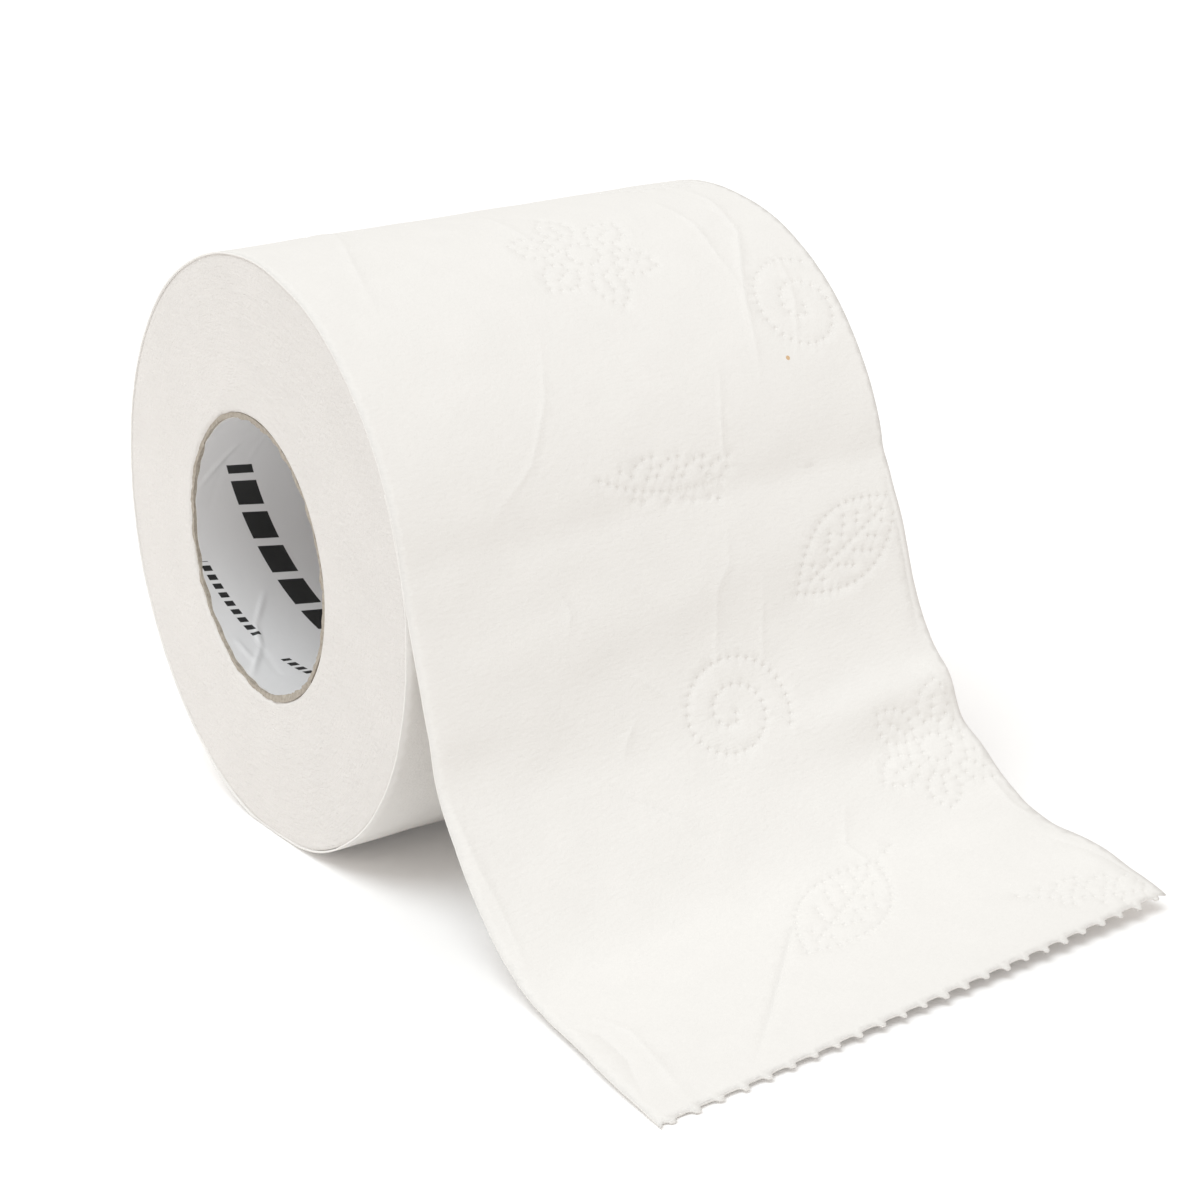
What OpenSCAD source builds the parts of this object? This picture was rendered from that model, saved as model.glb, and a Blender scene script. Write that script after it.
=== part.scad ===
// Toilet paper roll with its loose end hanging down the front to the floor.
// Millimetres. The core's axis is X and its middle is the origin, Z is up,
// and the loose end lies towards -Y. The roll rests on a small flat spot.

/* [Roll] */
// Width of the paper web, which is the length of the roll
web_w = 96; // [85:1:115]
// Diameter over the outermost turn
roll_d = 104; // [92:1:118]
// How far the slack turns bulge in front of the core
turns_forward = 1; // [0:0.1:3]
// How far the core has sunk below the middle of the turns
core_sag = 0.5; // [0:0.1:2]
// Thickness of one tight turn
turn_t = 0.3; // [0.2:0.05:0.35]
// How far the last turns, slack towards the far end, stand up there
slack = 3.4; // [0:0.2:5]
// Width of the flat spot under the soft roll
flat_w = 14; // [8:1:24]
// Spacing of the turn lines drawn on the ends, each for several thin turns
line_pitch = 2; // [1.6:0.1:3]
// Width of a turn line
line_w = 0.35; // [0.2:0.05:0.6]
// Depth of a turn line
line_depth = 0.4; // [0.2:0.05:0.8]

/* [Loose end] */
// Thickness of the loose, embossed web
web_t = 0.5; // [0.4:0.05:0.8]
// Length of the loose sheet, from where it leaves the roll to the torn edge
sheet_len = 110; // [102:1:122]
// Lean of the hanging stretch at its near edge, in degrees from upright
near_lean = 15; // [10:1:20]
// Lean of the hanging stretch at its far edge
far_lean = 20; // [14:1:25]
// Kink at the perforation where the sheet leaves the roll, in degrees
kink = 4; // [2:0.5:6]
// Radius of the bend between the hanging stretch and the foot, at the near edge
near_bend_r = 37; // [30:1:40]
// Radius of the bend at the far edge
far_bend_r = 58; // [48:1:62]
// Slope of the foot at the near edge, in degrees from level
near_slope = 1; // [0.5:0.5:4]
// Slope of the foot at the far edge
far_slope = 8; // [4:0.5:10]
// Height of the torn edge's far corner over the floor
far_lift = 4.5; // [0:0.5:7]
// Length that soft folds take up along the far edge
far_gather = 10; // [6:1:12]

/* [Torn edge] */
// Spacing of the paper ties that the tear leaves standing
tie_pitch = 4; // [3:0.5:6]
// Width of a tie
tie_w = 1; // [0.6:0.1:1.6]
// Length of a tie
tie_len = 1.2; // [0.6:0.1:2]
// How far the cut edge bows in between two ties
cut_bow = 0.2; // [0.1:0.05:0.4]

/* [Core] */
// Outer diameter of the core
core_d = 50.5; // [40:0.5:54]
// Thickness of the grey board
board_t = 0.8; // [0.5:0.1:1.4]
// Thickness of the white inner ply
liner_t = 0.2; // [0.15:0.05:0.4]
// How far the core's ends lie inside the ends of the web
core_inset = 0.5; // [0:0.1:2]

/* [Hidden] */
$fn = 96;
eps = 0.01;

roll_r = roll_d / 2;
core_r = core_d / 2;
bore_r = core_r - board_t - liner_t;
core_len = web_w - 2 * core_inset;
turns_mid = [-turns_forward, core_sag];

// Most of the last turn's climb is behind it where the roll lies on the floor.
rest_r = roll_r - 3 * turn_t / 4;
floor_z = core_sag - sqrt(pow(rest_r, 2) - pow(flat_w / 2, 2));

// Where the slack turns stand up most, as an angle from +Y towards +Z
slack_top = 95;
roll_steps = 96;
bend_steps = 24;
across_steps = 4;

// The web isn't the same along its two edges, so each has a row of these values.
LEAN = 0;
BEND_R = 1;
SLOPE = 2;
LIFT = 3;
LEN = 4;
SLACK = 5;
near_edge = [near_lean, near_bend_r, near_slope, 0, sheet_len, 0];
far_edge = [far_lean, far_bend_r, far_slope, far_lift, sheet_len - far_gather, slack];

// Half turns of the line spiral, counted from the outside inwards. A rim of
// unbroken paper stays outside the first and inside the last.
line_rim = 0.8;
half_turns = floor((roll_r - turn_t - core_r - 2 * line_rim) / (line_pitch / 2));

// Places in Y and Z. The first is the angle at which an edge leaves the roll.
function leave_angle(e) = 180 - e[LEAN] + kink;

function turn_r(e, angle) = roll_r + e[SLACK] * pow(abs(cos((angle - slack_top) / 2)), 3);

function around(angle, r) = turns_mid + r * [cos(angle), sin(angle)];

// A point of the last turn, which climbs by one tight thickness while it goes
// round. It is met backwards, after some degrees from where the sheet leaves.
function on_roll(e, turned) =
    let (angle = leave_angle(e) - turned)
    around(angle, turn_r(e, angle) - turn_t * turned / 360);

// The sheet's way, for an angle from straight down, and the way its front looks.
function heading(angle) = [-sin(angle), -cos(angle)];

function outward(angle) = [-cos(angle), sin(angle)];

function leave_r(e) = turn_r(e, leave_angle(e));

// A point where the sheet leaves, on one side of the middle of its thickness.
function leave_point(e, side) = around(leave_angle(e), leave_r(e) - web_t / 2 + side);

function bend_len(e) = e[BEND_R] * (90 - e[LEAN] - e[SLOPE]) * PI / 180;

// The hanging stretch and the foot share what the bend leaves of the sheet, so
// that the torn edge comes down to its height over the floor.
function hang_len(e) =
    let (drop = leave_point(e, 0)[1] - floor_z - e[LIFT] - web_t / 2 * cos(e[SLOPE])
        - e[BEND_R] * (cos(e[SLOPE]) - sin(e[LEAN])))
    (drop - (e[LEN] - bend_len(e)) * sin(e[SLOPE])) / (cos(e[LEAN]) - sin(e[SLOPE]));

function foot_len(e) = e[LEN] - bend_len(e) - hang_len(e);

function bend_mid(e) =
    leave_point(e, 0) + hang_len(e) * heading(e[LEAN]) + e[BEND_R] * outward(e[LEAN]);

function on_bend(e, side, angle) = bend_mid(e) - (e[BEND_R] - side) * outward(angle);

function edge_point(e, side) =
    on_bend(e, side, 90 - e[SLOPE]) + foot_len(e) * heading(90 - e[SLOPE]);

// How many degrees below its leaving line the sheet's back comes off the roll.
function parting(e) =
    let (
        back_r = leave_r(e) - web_t,
        under_r = leave_r(e) - turn_t,
        run = sqrt(pow(under_r, 2) - pow(back_r * cos(kink), 2)) - back_r * sin(kink)
    )
    atan2(run * cos(kink), back_r + run * sin(kink));

function bend_side(e, side) = [
    for (i = [0 : bend_steps])
        on_bend(e, side, e[LEAN] + (90 - e[SLOPE] - e[LEAN]) * i / bend_steps)
];

function reversed(list) = [for (i = [len(list) - 1 : -1 : 0]) list[i]];

// The web's outline at one edge: round the roll from where the sheet leaves,
// down the sheet's back and up its front.
function web_outline(e) = concat(
    [for (i = [0 : roll_steps]) on_roll(e, (360 - parting(e)) * i / roll_steps)],
    bend_side(e, -web_t / 2),
    [edge_point(e, -web_t / 2), edge_point(e, web_t / 2)],
    reversed(bend_side(e, web_t / 2)));

// The outline as faces that aren't hollow anywhere: the round of the roll, then
// one for each step along the sheet. The outline has n points.
function end_faces(n) = concat(
    [[for (i = [0 : roll_steps]) i]],
    [for (k = [0 : bend_steps + 1])
        [roll_steps + k, roll_steps + k + 1, n - k - 1, (n - k) % n]]);

// Triangles between one outline and the next.
function side_faces(n) = [
    for (i = [0 : n - 1]) let (j = (i + 1) % n)
        for (face = [[n + j, n + i, i], [n + j, i, j]]) face
];

near_corner = concat([-web_w / 2], edge_point(near_edge, 0));
far_corner = concat([web_w / 2], edge_point(far_edge, 0));
torn_line = far_corner - near_corner;
torn_len = norm(torn_line);
torn_turn = atan2(torn_line[1], torn_line[0]);
torn_tilt = asin(torn_line[2] / torn_len);

tie_n = round(web_w / tie_pitch);
tie_step = torn_len / tie_n;
gap_w = tie_step - tie_w;
bow_r = (pow(gap_w / 2, 2) + pow(cut_bow, 2)) / (2 * cut_bow);

// Carries a section drawn in Y and Z along the roll, from one X for a length.
module along_roll(from, len) {
    rotate([90, 0, 90]) translate([0, 0, from]) linear_extrude(len) children();
}

// The half plane above (side 1) or below (side -1) the line to where the web
// leaves the near edge.
module half_plane(side) {
    reach = 2 * roll_r;
    translate(turns_mid)
        rotate(leave_angle(near_edge))
        translate([-reach, side > 0 ? -reach : 0])
        square([2 * reach, reach]);
}

// The web's solid, ruled between its outlines at the near and the far edge. It
// has an outline at each step across, because the sheet is twisted.
module ruled_web(near, far) {
    n = len(near);
    last = n * across_steps;
    polyhedron(
        points = [
            for (s = [0 : across_steps]) let (share = s / across_steps)
                for (i = [0 : n - 1]) let (p = (1 - share) * near[i] + share * far[i])
                    [web_w * (share - 1 / 2), p[0], p[1]]
        ],
        faces = concat(
            [for (face = end_faces(n)) reversed(face)],
            [for (face = end_faces(n)) [for (i = face) last + i]],
            [for (s = [0 : across_steps - 1]) for (face = side_faces(n)) [for (i = face) n * s + i]]));
}

// The wound web with its loose sheet, the hole for the core and the flat spot.
module whole_web() {
    difference() {
        ruled_web(web_outline(near_edge), web_outline(far_edge));
        along_roll(-web_w / 2 - eps, web_w + 2 * eps) circle(core_r);
        along_roll(-web_w / 2 - eps, web_w + 2 * eps)
            translate([-turns_forward - flat_w, floor_z - flat_w])
            square([2 * flat_w, flat_w]);
    }
}

// The spiral between the turns, as half rings whose centres move from the
// middle of the outer turns to the core.
module turn_lines() {
    for (j = [0 : half_turns - 1]) {
        side = j % 2 == 0 ? 1 : -1;
        line_r = roll_r - turn_t - line_rim - line_pitch * (j / 2 + 1 / 4);
        intersection() {
            translate(turns_mid * (1 - (j + 0.5) / half_turns))
                rotate(leave_angle(near_edge))
                translate([side * line_pitch / 4, 0]) difference() {
                    circle(line_r);
                    circle(line_r - line_w);
                }
            half_plane(side);
        }
    }
}

// What the perforation knife took out between two ties, bowed into the sheet.
module tear_gap(w) {
    translate([-w / 2, -tie_len]) square([w, 2 * tie_len]);
    translate([-w / 2, 0]) intersection() {
        translate([w / 2, tie_len + cut_bow - bow_r]) circle(bow_r);
        translate([0, tie_len - eps]) square([w, cut_bow + 2 * eps]);
    }
}

// All the gaps of the torn edge, cut straight down through the end of the foot.
module torn_edge() {
    reach = 4 * web_t;
    translate((near_corner + far_corner) / 2)
        rotate([0, -torn_tilt, torn_turn])
        translate([0, 0, -reach])
        linear_extrude(2 * reach)
        for (i = [0 : tie_n])
            translate([(i - tie_n / 2) * tie_step, 0]) tear_gap(gap_w);
}

module paper_web() {
    color("#f3f1ec")
    difference() {
        whole_web();
        along_roll(-web_w / 2 - eps, line_depth + eps) turn_lines();
        along_roll(web_w / 2 - line_depth, line_depth + eps) turn_lines();
        torn_edge();
    }
}

module tube(outer_r, inner_r) {
    along_roll(-core_len / 2, core_len) difference() {
        circle(outer_r);
        circle(inner_r);
    }
}

module core_tube() {
    color("#9c9186") tube(core_r, core_r - board_t);
}

module core_liner() {
    color("#e6e6ea") tube(core_r - board_t, bore_r);
}

paper_web();
core_tube();
core_liner();
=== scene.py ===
# %% [markdown]
# # A toilet paper roll with its loose sheet
#
# A roll like this is one long strip of embossed tissue, wound on a tube of grey board
# that has a white, printed lining. The first sheet has been pulled off the roll. It
# hangs down the front, bends on the floor and ends in a torn row of perforations.
#
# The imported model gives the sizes: the roll, the core and where the sheet lies. This
# lesson gives them their looks. Four pieces stand for the three packed ones: the wound
# web with the edges of its turns, the last turn with the loose sheet, the board tube
# and its lining. Lengths are written in millimetres and turned to metres in one place.

# %% Load the frame
import math

import bmesh
import bpy
import numpy as np
from mathutils import Matrix, Vector, noise
from mathutils.geometry import delaunay_2d_cdt


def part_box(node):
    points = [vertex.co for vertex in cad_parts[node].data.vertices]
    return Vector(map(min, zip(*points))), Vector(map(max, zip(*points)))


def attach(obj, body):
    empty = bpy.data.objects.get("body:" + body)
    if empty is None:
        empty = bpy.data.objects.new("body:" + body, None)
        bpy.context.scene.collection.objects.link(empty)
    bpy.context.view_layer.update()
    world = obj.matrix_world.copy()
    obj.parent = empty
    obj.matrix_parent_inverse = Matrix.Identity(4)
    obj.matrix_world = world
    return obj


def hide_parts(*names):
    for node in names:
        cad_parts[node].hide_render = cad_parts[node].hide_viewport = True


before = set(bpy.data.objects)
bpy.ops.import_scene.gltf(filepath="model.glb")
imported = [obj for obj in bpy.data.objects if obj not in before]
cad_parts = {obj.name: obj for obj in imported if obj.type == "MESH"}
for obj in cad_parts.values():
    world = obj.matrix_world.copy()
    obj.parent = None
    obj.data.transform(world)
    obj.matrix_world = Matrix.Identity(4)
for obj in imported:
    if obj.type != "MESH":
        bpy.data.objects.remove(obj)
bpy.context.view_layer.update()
MM = 0.001
web_low, web_high = (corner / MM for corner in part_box("paper_web"))
tube_low, tube_high = (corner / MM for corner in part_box("core_tube"))
liner_low, liner_high = (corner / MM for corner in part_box("core_liner"))
print("web from", web_low, "to", web_high)

# %% [markdown]
# ## Camera
#
# The camera comes first, because every choice after it is judged through it. It could
# be placed by hand, but a fit to the outlines of both ends of the roll gives the angle,
# the distance and the lens at once. It looks at a point under the middle of the roll
# from the front and the left, a little above, and leans by about a degree.

# %% Camera
AZIMUTH = -34.10
ELEVATION = 17.55
LEAN = -1.32
DISTANCE = 430.0
AIM = (23.64, 0.0, -21.53)
PHOTO_SIDE = 1200
FOCAL_PIXELS = 2248.8
SENSOR = 36.0

def add_camera():
    azimuth, elevation, lean = (math.radians(v) for v in (AZIMUTH, ELEVATION, LEAN))
    towards = Vector((
        math.sin(azimuth) * math.cos(elevation),
        -math.cos(azimuth) * math.cos(elevation),
        math.sin(elevation),
    ))
    right = Vector((0, 0, 1)).cross(towards).normalized()
    up = towards.cross(right)
    leaned_right = math.cos(lean) * right + math.sin(lean) * up
    leaned_up = math.cos(lean) * up - math.sin(lean) * right
    axes = Matrix((leaned_right, leaned_up, towards)).transposed().to_4x4()
    data = bpy.data.cameras.new("camera")
    data.sensor_width = SENSOR
    data.lens = FOCAL_PIXELS / PHOTO_SIDE * SENSOR
    camera = bpy.data.objects.new("camera", data)
    camera.matrix_world = Matrix.Translation((Vector(AIM) + towards * DISTANCE) * MM) @ axes
    bpy.context.scene.collection.objects.link(camera)
    bpy.context.scene.camera = camera
    return camera

camera = add_camera()
print("camera at", camera.matrix_world.translation)

# %% [markdown]
# ## The path of the web
#
# Tissue bends easily one way at a time, so both the wound part and the loose part are
# ruled by two numbers: how far a point lies along the web from the torn edge, and its
# X across it. One function turns these two numbers into a point in space, and every
# detail, such as an embossed dot or a crease, is then drawn flat, as the mill does it.
#
# On the roll the web climbs over the turns under it. The last turns are slack towards
# the far end and stand off a little, and the soft roll is flat where it lies.

# %% Sizes of the web
HALF_W = web_high.x
FLOOR = web_low.z
TURNS_Y = -1.0
TURNS_Z = 0.5
ROLL_R = 52.0
TURN_T = 0.3
SHEET_T = 0.35
SHEET_LEN = 110.0
FULL_TURN = math.pi * (2 * ROLL_R - TURN_T)
TUCKED = 12.0
WEB_END = SHEET_LEN + FULL_TURN + TUCKED
LEAVE_NEAR = 169.5
LEAVE_FAR = 165.0
SLACK = 3.4
SLACK_TOP = 95.0
FLOOR_GAP = 0.05
LEAST_GAP = 0.02
FLAT_SOFTNESS = 0.4

# %% The path round the roll
def across(x):
    """0 at the near end of the roll and 1 at the far end."""
    return (np.asarray(x, float) + HALF_W) / (2 * HALF_W)

def smooth(value, start, end):
    """0 before start and 1 after end, with a soft step between them."""
    t = np.clip((np.asarray(value, float) - start) / (end - start), 0, 1)
    return t * t * (3 - 2 * t)

def turns_radius(angle, x):
    """Outer radius of the slack turns under the last one, before its own climb."""
    lift = (1 + np.cos(np.radians(angle - SLACK_TOP))) / 2
    return ROLL_R + SLACK * np.clip(across(x), 0, 1.05) * lift ** 1.5

def at_radius(angle, radius, depth):
    """A point of the section, kept above the floor by a soft flat spot."""
    y = TURNS_Y + radius * np.cos(np.radians(angle))
    z = TURNS_Z + radius * np.sin(np.radians(angle))
    rest = FLOOR + FLOOR_GAP + depth
    z = rest + FLAT_SOFTNESS * np.logaddexp(0, (z - rest) / FLAT_SOFTNESS)
    return y, z

def on_roll(turned, x, depth=0.0):
    """Where the last turn lies, in Y and Z, after it has turned by some degrees."""
    angle = LEAVE_NEAR + (LEAVE_FAR - LEAVE_NEAR) * across(x) - turned
    radius = turns_radius(angle, x) - TURN_T * turned / 360 - depth
    return at_radius(angle, radius, depth)

# %% [markdown]
# The loose sheet isn't the same along both edges: the near edge comes down steeply and
# lies flat, the far edge bends higher up and runs out in two low waves above the floor.
# A curve through a few points gives each edge, and the sheet is ruled between them. The
# points were picked in the picture, brought into the section through the camera above,
# and then partly moved.
#
# This is a likeness and not a true unrolling: the far edge comes out 12 mm shorter than
# the near one, and the foot is splayed past the web's width, so that its outline and
# its thin shadow both fall where they should. Real paper does neither.

# %% The path of the loose sheet
NEAR_EDGE = [
    (-54.5, -0.2), (-58.6, -15.3), (-60.2, -21.9), (-65.8, -32.3), (-71.4, -39.0), (-77.9, -44.5),
    (-84.2, -47.8), (-91.0, -48.8), (-99.0, -49.1), (-106.8, -49.4), (-115.0, -49.8), (-123.2, -50.3),
]
FAR_EDGE = [
    (-57.3, 5.0), (-59.8, -2.0), (-67.0, -17.9), (-75.8, -28.2), (-83.9, -36.3),
    (-88.7, -39.6), (-93.2, -40.8), (-101.7, -43.0), (-109.8, -44.9), (-113.2, -45.8), (-117.5, -48.0),
]
NEAR_SPLAY = -3.6
FAR_SPLAY = 4.8
SPLAYED = 46.0
CURVE_STEPS = 24

def curve_through(points):
    """A smooth curve through points, as (length so far / whole length, y, z) rows."""
    p = np.array(points, float)
    p = np.vstack([2 * p[0] - p[1], p, 2 * p[-1] - p[-2]])
    knots = np.concatenate([[0], np.cumsum(np.sqrt(np.linalg.norm(np.diff(p, axis=0), axis=1)))])
    rows = []
    for i in range(1, len(p) - 2):
        t0, t1, t2, t3 = knots[i - 1:i + 3]
        for t in np.linspace(t1, t2, CURVE_STEPS, endpoint=False):
            a1 = ((t1 - t) * p[i - 1] + (t - t0) * p[i]) / (t1 - t0)
            a2 = ((t2 - t) * p[i] + (t - t1) * p[i + 1]) / (t2 - t1)
            a3 = ((t3 - t) * p[i + 1] + (t - t2) * p[i + 2]) / (t3 - t2)
            b1 = ((t2 - t) * a1 + (t - t0) * a2) / (t2 - t0)
            b2 = ((t3 - t) * a2 + (t - t1) * a3) / (t3 - t1)
            rows.append(((t2 - t) * b1 + (t - t1) * b2) / (t2 - t1))
    rows = np.array(rows + [p[-2]])
    run = np.concatenate([[0], np.cumsum(np.linalg.norm(np.diff(rows, axis=0), axis=1))])
    return np.column_stack([run / run[-1], rows]), run[-1]

def edge_curve(points, x):
    y, z = on_roll(0.0, x)
    return curve_through([(float(y), float(z))] + points)

near_curve, near_len = edge_curve(NEAR_EDGE, -HALF_W)
far_curve, far_len = edge_curve(FAR_EDGE, HALF_W)
print("loose sheet's edges are", round(near_len, 1), "and", round(far_len, 1), "mm long")

def loose(along, x):
    """Where the loose sheet lies, in Y and Z, at a distance along the web."""
    t = 1 - along / SHEET_LEN
    w = across(x)
    y = (1 - w) * np.interp(t, near_curve[:, 0], near_curve[:, 1])
    y += w * np.interp(t, far_curve[:, 0], far_curve[:, 1])
    z = (1 - w) * np.interp(t, near_curve[:, 0], near_curve[:, 2])
    z += w * np.interp(t, far_curve[:, 0], far_curve[:, 2])
    return y, z

def web_point(along, x):
    """A point of the web's outer face, from its place on the flat web."""
    along = np.asarray(along, float)
    x = np.asarray(x, float)
    turned = np.maximum(along - SHEET_LEN, 0) / FULL_TURN * 360
    roll_y, roll_z = on_roll(turned, x)
    loose_y, loose_z = loose(np.minimum(along, SHEET_LEN), x)
    is_loose = along < SHEET_LEN
    splay = NEAR_SPLAY * (1 - across(x)) + FAR_SPLAY * across(x)
    out_x = x + splay * (1 - smooth(along, 0, SPLAYED))
    return np.stack([
        out_x,
        np.where(is_loose, loose_y, roll_y),
        np.where(is_loose, loose_z, roll_z),
    ], axis=-1)

def web_normal(along, x, step=0.05):
    """Which way the web's outer face looks."""
    down = web_point(along - step, x) - web_point(along + step, x)
    side = web_point(along, x + step) - web_point(along, x - step)
    normal = np.cross(down, side)
    return normal / np.linalg.norm(normal, axis=-1, keepdims=True)

top_normal = web_normal(np.array([SHEET_LEN + 65.0]), np.array([0.0]))
print("on top of the roll the web looks", top_normal.round(2))

# %% [markdown]
# ## Embossing
#
# The mill presses rows of round dots into the web, which hold the plies together and
# draw a pattern. The dots are about a millimetre across and 1.75 mm apart. Here they
# draw leaves, rosettes and scrolls in staggered columns. A bump map could fake them,
# but they show in the outline of the meshes only as real dimples.

# %% Motifs drawn in dots
DOT_PITCH = 1.75
DOT_R = 0.54
DOT_INNER_R = 0.28
DOT_DEPTH = 0.27
DOT_SIDES = 6

def in_dots(points, pitch=DOT_PITCH):
    """Evenly spaced dots along a line of points."""
    p = np.array(points, float)
    run = np.concatenate([[0], np.cumsum(np.linalg.norm(np.diff(p, axis=0), axis=1))])
    n = max(1, round(run[-1] / pitch))
    at = np.linspace(0, run[-1], n + 1)
    return np.column_stack([np.interp(at, run, p[:, 0]), np.interp(at, run, p[:, 1])])

def bowed(length, bow, n=24):
    """A line from the origin along X that bows to one side."""
    t = np.linspace(0, 1, n)
    return np.column_stack([length * t, bow * 4 * t * (1 - t)])

def turned_by(points, degrees, move=(0.0, 0.0)):
    a = math.radians(degrees)
    spin = np.array([[math.cos(a), math.sin(a)], [-math.sin(a), math.cos(a)]])
    return np.asarray(points) @ spin + np.array(move)

def leaf(length=27.0, bow=7.0, veins=5):
    """A leaf: two bowed edges, a midrib and slanting veins."""
    lines = [bowed(length, bow), bowed(length, -bow), bowed(length + 5, 0.0)]
    for i in range(veins):
        start = length * (0.16 + 0.15 * i)
        reach = 0.55 * bow * math.sin(math.pi * (0.2 + 0.15 * i))
        for side in (1, -1):
            lines.append(np.array([(start, side * 0.8), (start + reach, side * reach * 1.15)]))
    return np.vstack([in_dots(line) for line in lines]) - (length / 2, 0)

def rosette(radius=13.0, petals=6):
    """A flower of pointed petals round a ring."""
    dots = [in_dots(ring(3.0))]
    for i in range(petals):
        for bow in (3.2, -3.2):
            petal = bowed(radius - 4.2, bow) + (4.2, 0)
            dots.append(turned_by(in_dots(petal), i * 360 / petals))
        rib = np.array([(6.2, 0), (radius - 3.4, 0)])
        dots.append(turned_by(in_dots(rib), i * 360 / petals))
    return np.vstack(dots)

def ring(radius, n=48):
    a = np.linspace(0, 2 * math.pi, n)
    return np.column_stack([radius * np.cos(a), radius * np.sin(a)])

def scroll(radius=11.0, turns=2.1):
    """A spiral that ends in a short tail."""
    a = np.linspace(0.5, turns * 2 * math.pi, 160)
    r = radius * (a / a[-1]) ** 0.85
    return in_dots(np.column_stack([r * np.cos(a), r * np.sin(a)]))

def sprig(length=24.0):
    """A bowed stem with small leaves on both sides."""
    dots = [in_dots(bowed(length, 2.0))]
    for i in range(4):
        at = 4 + 5.0 * i
        for side in (1, -1):
            for bow in (1.5, -1.5):
                small = turned_by(bowed(6.5, bow), -side * 48, (at + (side > 0) * 2.0, side * 1.3))
                dots.append(in_dots(small))
    return np.vstack(dots) - (length / 2, 0)

def spaced(dots, gap=0.86):
    """Leaves out the dots that would run into another."""
    kept = []
    for dot in dots:
        if all((dot[0] - k[0]) ** 2 + (dot[1] - k[1]) ** 2 > (gap * DOT_PITCH) ** 2 for k in kept):
            kept.append(dot)
    return np.array(kept)

MOTIFS = [spaced(m) for m in (leaf(), rosette(), sprig(), scroll())]
print("dots in the motifs:", [len(m) for m in MOTIFS])

# %% Lay the motifs out on the web
COLUMNS = [(4.0, 43.0, 28.0), (38.0, 43.0, 8.0)]
EDGE_ROOM = 1.2

def all_dots():
    """The dots of the whole web, as (along, x) rows, in staggered columns."""
    found = []
    for column, (x, step, start) in enumerate(COLUMNS):
        for row in range(int((WEB_END - start) / step) + 1):
            motif = MOTIFS[(row * 3 + column * 2) % len(MOTIFS)]
            tilt = (62, 118, 84, 140, 100)[(row * 2 + column) % 5]
            placed = turned_by(motif, tilt, (start + row * step, x + 2.5 * math.sin(row * 2.4)))
            found.append(placed)
    dots = np.vstack(found)
    inside = (np.abs(dots[:, 1]) < HALF_W - EDGE_ROOM) & (dots[:, 0] > 2 * EDGE_ROOM)
    return dots[inside & (dots[:, 0] < WEB_END - TUCKED)]

DOTS = all_dots()
print("embossed dots:", len(DOTS))

# %% [markdown]
# ## Creases and soft waves
#
# A sheet that has been handled keeps thin creases, where it was once bent sharply, and
# broad soft waves. The creases run mostly along the web. The waves are a sum of smooth
# humps: wide ones across the loose sheet and faint ones all over.

# %% Creases
CREASE_HALF = 0.3
CREASE_STEP = 0.8
CREASES = [
    # height, then (along, x) points
    (0.16, [(176, 40), (166, 40.5), (155, 38.0), (147, 33.0), (140, 29.5), (126, 25.5)]),
    (0.12, [(170, 30), (160, 31.5), (150, 30.0), (143, 30.5)]),
    (0.12, [(150, 41.0), (144, 40.8), (138, 39.2), (128, 34.4)]),
    (0.10, [(130, 18.2), (122, 15.6), (116, 14.2), (108, 11.0)]),
    (0.08, [(104, 12.2), (97, 11.0), (93, 7.8), (85, 6.4), (78, 4.3)]),
    (0.07, [(93, 17.0), (88, 16.2), (84, 15.4), (78, 14.0), (73, 13.0)]),
    (-0.20, [(37, 2.2), (33, -1.4), (26, -8.6), (20, -14.4), (14, -20.2), (4, -30.2)]),
    (0.10, [(84, -12.0), (80, -8.0), (77, -5.0)]),
    (0.12, [(204, -30), (190, -27), (178, -28)]),
    (0.12, [(76, -46.9), (67.7, -45.9), (61.4, -45.5), (55.4, -44.8), (50.5, -44.7), (44, -45.6)]),
    (-0.13, [(29.3, -46.4), (24.3, -43.9), (16.2, -43.8), (6.5, -46.6)]),
    (0.12, [(30.5, -43.0), (21.8, -39.6), (9.3, -40.8), (3.0, -41.7)]),
    (-0.20, [(106, 46.9), (98, 46.5), (88, 46.7), (79, 46.2), (72, 45.4)]),
    (-0.14, [(69, 42.5), (65, 44.4), (60, 46.4), (54, 46.7)]),
    (0.12, [(49, 46.6), (42, 45.7), (35, 45.0), (28, 46.4)]),
    (-0.12, [(24, 43.5), (17, 45.2), (10, 46.6), (5, 46.8)]),
    (0.10, [(142, -12), (131, -16), (121, -22), (114, -31)]),
    (-0.10, [(70, -22), (63, -17), (56, -9), (50, -6)]),
    (0.10, [(48, 18), (41, 14), (35, 15), (27, 12)]),
    (0.12, [(74.0, 9.0), (69.0, 12.5), (64.5, 16.0), (61.5, 19.5)]),
    (0.09, [(76.0, -11.5), (72.5, -14.5), (69.5, -16.0)]),
    (0.08, [(102, -22), (97, -20), (92, -21.5)]),
    (0.10, [(189, -26), (183, -28), (168, -33.5), (160, -35.5), (153, -37)]),
    (0.07, [(182, -1.4), (166, -1.1), (156, 0.5)]),
]

def crease_rows():
    """Points in three rows along each crease, as (along, x, height)."""
    rows = []
    for height, points in CREASES:
        line = in_dots(points, CREASE_STEP)
        ahead = np.gradient(line, axis=0)
        ahead /= np.linalg.norm(ahead, axis=1)[:, None]
        side = np.column_stack([-ahead[:, 1], ahead[:, 0]])
        fade = np.sin(np.linspace(0.15, math.pi - 0.15, len(line)))
        for offset, share in ((-CREASE_HALF, 0.0), (0.0, 1.0), (CREASE_HALF, 0.0)):
            rows.append(np.column_stack([line + side * offset, height * share * fade]))
    return np.vstack(rows)

CREASE_POINTS = crease_rows()
print("points along creases:", len(CREASE_POINTS))

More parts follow.
